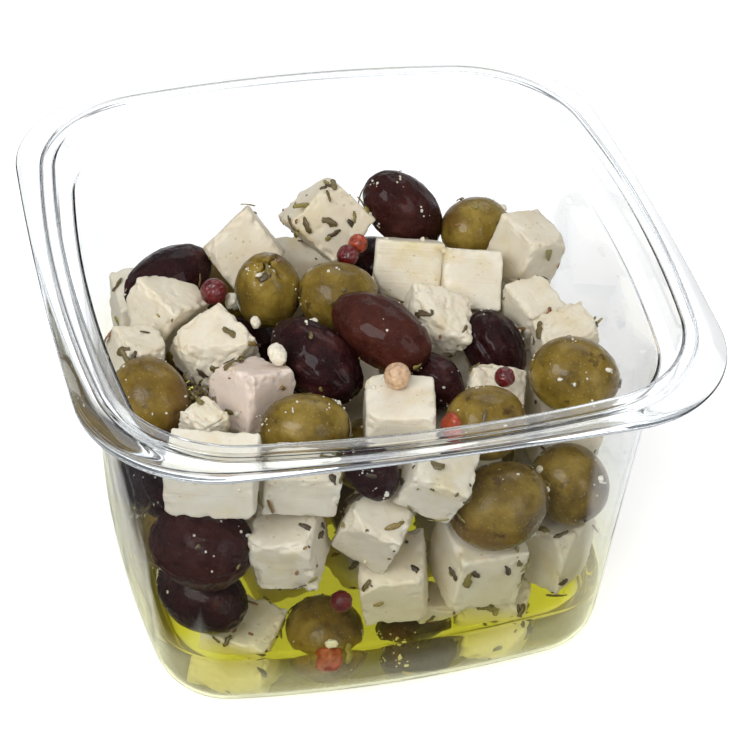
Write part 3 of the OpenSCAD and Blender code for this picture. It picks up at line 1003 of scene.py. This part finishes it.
def build_tub():
    """The formed sheet, as one skin from the middle of its underside round the rim to the floor."""
    edge = 0.75 * MM
    under = rounded_line(
        wall_line(0, 0, BASE_BEND, LEDGE_Z - SHEET) + [
            (BEAD_FOOT + SHEET, LEDGE_Z - SHEET, 0.9 * MM),
            (OPENING_HALF + SHEET, TUB_H - SHEET, 0.35 * MM),
            (BEAD_OUT - SHEET, TUB_H - SHEET, 0.35 * MM),
            (BEAD_OUT - SHEET, FLANGE_Z - SHEET, 0.7 * MM),
            (BEAD_OUT + 0.5 * MM, FLANGE_Z - SHEET, 0),
        ])
    over = rounded_line(
        wall_line(SHEET, SHEET, BASE_BEND - SHEET, LEDGE_Z) + [
            (BEAD_FOOT, LEDGE_Z, 0.5 * MM),
            (OPENING_HALF, TUB_H, edge),
            (BEAD_OUT, TUB_H, edge),
            (BEAD_OUT, FLANGE_Z, 0.3 * MM),
            (BEAD_OUT + 0.5 * MM, FLANGE_Z, 0),
        ])
    rings = [tub_ring(x, z) for x, z in spread(under, LOFT_STEP)]
    rings += [flange_ring(inset * MM, z) for inset, z in (
        (0.3, FLANGE_Z - SHEET), (0.1, FLANGE_Z - 0.85 * SHEET), (0, FLANGE_Z - 0.5 * SHEET),
        (0.1, FLANGE_Z - 0.15 * SHEET), (0.3, FLANGE_Z))]
    rings += [tub_ring(x, z) for x, z in spread(over, LOFT_STEP)[::-1]]
    verts, faces = loft(rings, np.zeros(3), np.array([0, 0, SHEET]))
    verts = np.array(verts)
    # The walls of a formed sheet wander a little.
    mid_wall = np.clip(verts[:, 2] / (12 * MM), 0, 1) * np.clip((LEDGE_Z - verts[:, 2]) / (8 * MM), 0, 1)
    outward = unit(verts * np.array([1, 1, 0]))
    wander = noise_at(outward * 2.2 + verts * np.array([0, 0, 22]), 1.0, 3)
    verts += outward * (wander * mid_wall * WANDER)[:, None]
    tub = new_object("tub_look", verts, faces, PLASTIC)
    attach(tub, "tub")
    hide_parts("tub")


def build_oil():
    """The pool, a hair inside the drawn floor and walls, with a raised edge where it wets the wall."""
    inset = SHEET + OIL_GAP
    line = rounded_line(wall_line(inset, inset, BASE_BEND - SHEET, OIL_LEVEL + OIL_CREEP)
                        + [(BASE_HALF - 2.4 * MM, OIL_LEVEL, 1.5 * MM), (MIDDLE_R, OIL_LEVEL, 0)])
    rings = [tub_ring(x, z) for x, z in spread(line, LOFT_STEP)]
    verts, faces = loft(rings, np.array([0, 0, inset]), np.array([0, 0, OIL_LEVEL]))
    oil = new_object("oil_look", np.array(verts), faces, OIL)
    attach(oil, "tub")
    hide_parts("oil")


# ---------------------------------------------------------------- stage

# How much the paper glows near the tub and far off, and how far out in metres the one turns into the other.
PAPER_GLOW, FAR_GLOW = 0.45, 0.7
GLOW_SPAN = (0.2, 0.9)
# Rays that crossed more surfaces than this have been through the oil.
DEEP = 5.5
# Half the square of paper round the tub that stays pale to mirror reflections.
FOOTPRINT = 58 * MM
FLOOR_HALF = 3.0
FLOOR_DROP = 0.2 * MM
# How bright the studio is to mirror reflections, from the horizon (0) up to straight overhead (1).
SKY_BANDS = ((0.0, 0.75), (0.12, 0.7), (0.25, 0.16), (0.6, 0.1), (0.8, 0.38), (1.0, 0.5))
# Name, azimuth, elevation, distance in metres, size in metres, and watts of each soft box.
LIGHTS = (("key", -50, 44, 0.8, (0.5, 0.4), 4.5),
          ("back", 150, 48, 0.9, (0.7, 0.35), 1.6),
          ("fill", 30, 28, 1.0, (0.4, 0.6), 2.2))
LIGHTS_AIM = 50 * MM
# The camera's angles in degrees, the last as yaw, pitch and roll. Its lens and sensor are in mm.
CAMERA_AZIMUTH, CAMERA_ELEVATION = -16.5, 36.8
CAMERA_TURNS = (-0.63, -3.37, 3.8)
CAMERA_DISTANCE = 477 * MM
CAMERA_LENS, SENSOR_WIDTH = 110.5, 36


def build_stage():
    floor = Shader("floor_paper")
    shade = floor.noise(3, 2)
    paper = floor.ramp(shade, (0.3, (0.9, 0.9, 0.9)), (0.7, (0.92, 0.92, 0.92)))
    # Mirror reflections see a darker studio, so the clear walls stay clear.
    path = floor.node("LightPath")
    mirrored = floor.math("MINIMUM", path.outputs["Glossy Depth"], 1.0)
    shallow = floor.math("LESS_THAN", path.outputs["Transmission Depth"], DEEP)
    mirrored = floor.math("MULTIPLY", mirrored, shallow)
    split = floor.node("SeparateXYZ")
    floor.feed(split.inputs[0], floor.coords())
    across = [floor.math("ABSOLUTE", split.outputs[axis]) for axis in "XY"]
    # Only the paper in front of the tub and to its left is dark to mirror reflections.
    ahead = floor.math("MULTIPLY", split.outputs["Y"], -1.0)
    left = floor.math("MULTIPLY", split.outputs["X"], -1.0)
    outside = floor.grey(floor.math("MAXIMUM", ahead, left), 0.0, 1.0, FOOTPRINT, FOOTPRINT + 6 * MM)
    side = floor.math("ADD", split.outputs["X"], floor.math("MULTIPLY", split.outputs["Y"], 0.4))
    outside = floor.math("MULTIPLY", outside, floor.grey(side, 1.0, 0.0, 40 * MM, 50 * MM))
    mirrored = floor.math("MULTIPLY", mirrored, outside)
    paper = floor.mix(mirrored, paper, (0.03, 0.03, 0.032))
    # Less light bounces up at the food, and the paper under the tub is painted darker through the tub, as
    # painted shade.
    paper = floor.mix(path.outputs["Is Diffuse Ray"], paper, (0.4, 0.4, 0.4))
    # Painted shade: the paper within the tub's footprint is darker where it is seen through the tub.
    diagonal = floor.math("MULTIPLY", floor.math("ADD", *across), 0.6)
    under = floor.math("MAXIMUM", floor.math("MAXIMUM", *across), diagonal)
    under = floor.grey(under, 1.0, 0.0, 46 * MM, 52 * MM)
    under = floor.math("MULTIPLY", under, path.outputs["Is Transmission Ray"])
    paper = floor.mix(under, paper, (0.36, 0.36, 0.34))
    # The paper glows where it is seen straight or through the tub, and more so far from the lamps,
    # so that no horizon shows.
    direct = floor.math("SUBTRACT", 1.0, mirrored)
    through = floor.math("MULTIPLY", direct, path.outputs["Is Transmission Ray"])
    seen = floor.math("ADD", path.outputs["Is Camera Ray"], through)
    far = floor.grey(floor.math("MAXIMUM", *across), PAPER_GLOW, FAR_GLOW, *GLOW_SPAN)
    glow = floor.math("MULTIPLY", seen, far)
    material = floor.finish(floor.principled(
        Base_Color=paper, Roughness=0.9, Emission_Color=(1, 1, 1, 1), Emission_Strength=glow))
    corners = [(x * FLOOR_HALF, y * FLOOR_HALF, 0) for x, y in ((-1, -1), (1, -1), (1, 1), (-1, 1))]
    sheet = new_object("floor", np.array(corners), [(0, 1, 2, 3)], material, smooth=False)
    sheet.location.z = -FLOOR_DROP


def area_light(name, azimuth, elevation, distance, size, power):
    """A soft box that looks at the middle of the tub."""
    lamp = bpy.data.lights.new(name, "AREA")
    lamp.shape = "RECTANGLE"
    lamp.size, lamp.size_y = size
    lamp.energy = power
    obj = bpy.data.objects.new(name, lamp)
    a, e = math.radians(azimuth), math.radians(elevation)
    back = Vector((math.sin(a) * math.cos(e), -math.cos(a) * math.cos(e), math.sin(e)))
    obj.location = Vector((0, 0, LIGHTS_AIM)) + back * distance
    obj.rotation_euler = back.to_track_quat("Z", "Y").to_euler()
    bpy.context.scene.collection.objects.link(obj)


def build_world():
    """A pale studio, with a darker band round it that draws the clear edges."""
    s = Shader("studio", world=True)
    bpy.context.scene.world = s.owner
    split = s.node("SeparateXYZ")
    s.feed(split.inputs[0], s.node("TexCoord").outputs["Generated"])
    bands = s.ramp(split.outputs["Z"], *[(at, (v, v, v * 1.01)) for at, v in SKY_BANDS])
    path = s.node("LightPath")
    # What is seen straight, or through the tub, is white. Mirror reflections see the bands.
    through = s.math("GREATER_THAN", path.outputs["Is Transmission Ray"], path.outputs["Glossy Depth"])
    deep = s.math("GREATER_THAN", path.outputs["Transmission Depth"], DEEP)
    seen = s.math("MAXIMUM", path.outputs["Is Camera Ray"], s.math("MAXIMUM", through, deep))
    sky = s.node("Background", Color=s.mix(seen, bands, (1.0, 1.0, 1.0)), Strength=1.0)
    s.finish(sky.outputs[0])


def build_camera():
    """The viewpoint: above the front left, aimed a little off the rim's middle and rolled a little."""
    azimuth, elevation = math.radians(CAMERA_AZIMUTH), math.radians(CAMERA_ELEVATION)
    yaw, pitch, roll = (math.radians(turn) for turn in CAMERA_TURNS)
    back = Vector((math.sin(azimuth) * math.cos(elevation),
                   -math.cos(azimuth) * math.cos(elevation), math.sin(elevation)))
    right = Vector((0, 0, 1)).cross(back).normalized()
    up = back.cross(right)
    world_to_view = Matrix((right, up, back))
    aim = (Matrix.Rotation(-roll, 3, "Z") @ Matrix.Rotation(-pitch, 3, "X")
           @ Matrix.Rotation(-yaw, 3, "Y"))
    turn = (aim @ world_to_view).transposed()
    data = bpy.data.cameras.new("camera")
    data.lens = CAMERA_LENS
    data.sensor_width = SENSOR_WIDTH
    camera = bpy.data.objects.new("camera", data)
    place = Vector((0, 0, TUB_H)) + back * CAMERA_DISTANCE
    camera.matrix_world = Matrix.Translation(place) @ turn.to_4x4()
    bpy.context.scene.collection.objects.link(camera)
    bpy.context.scene.camera = camera


def set_render():
    """Enough bounces for a sheet of plastic round oil, and plain colours."""
    scene = bpy.context.scene
    scene.cycles.max_bounces = 28
    scene.cycles.transmission_bounces = 24
    scene.cycles.transparent_max_bounces = 24
    scene.cycles.glossy_bounces = 8
    scene.cycles.diffuse_bounces = 4
    scene.cycles.sample_clamp_indirect = 4
    scene.cycles.use_denoising = True
    scene.view_settings.view_transform = "Standard"
    scene.view_settings.exposure = 0.0


build_food()
build_herbs()
build_crumbs()
build_tub()
build_oil()
build_stage()
for light in LIGHTS:
    area_light(*light)
build_world()
build_camera()
set_render()
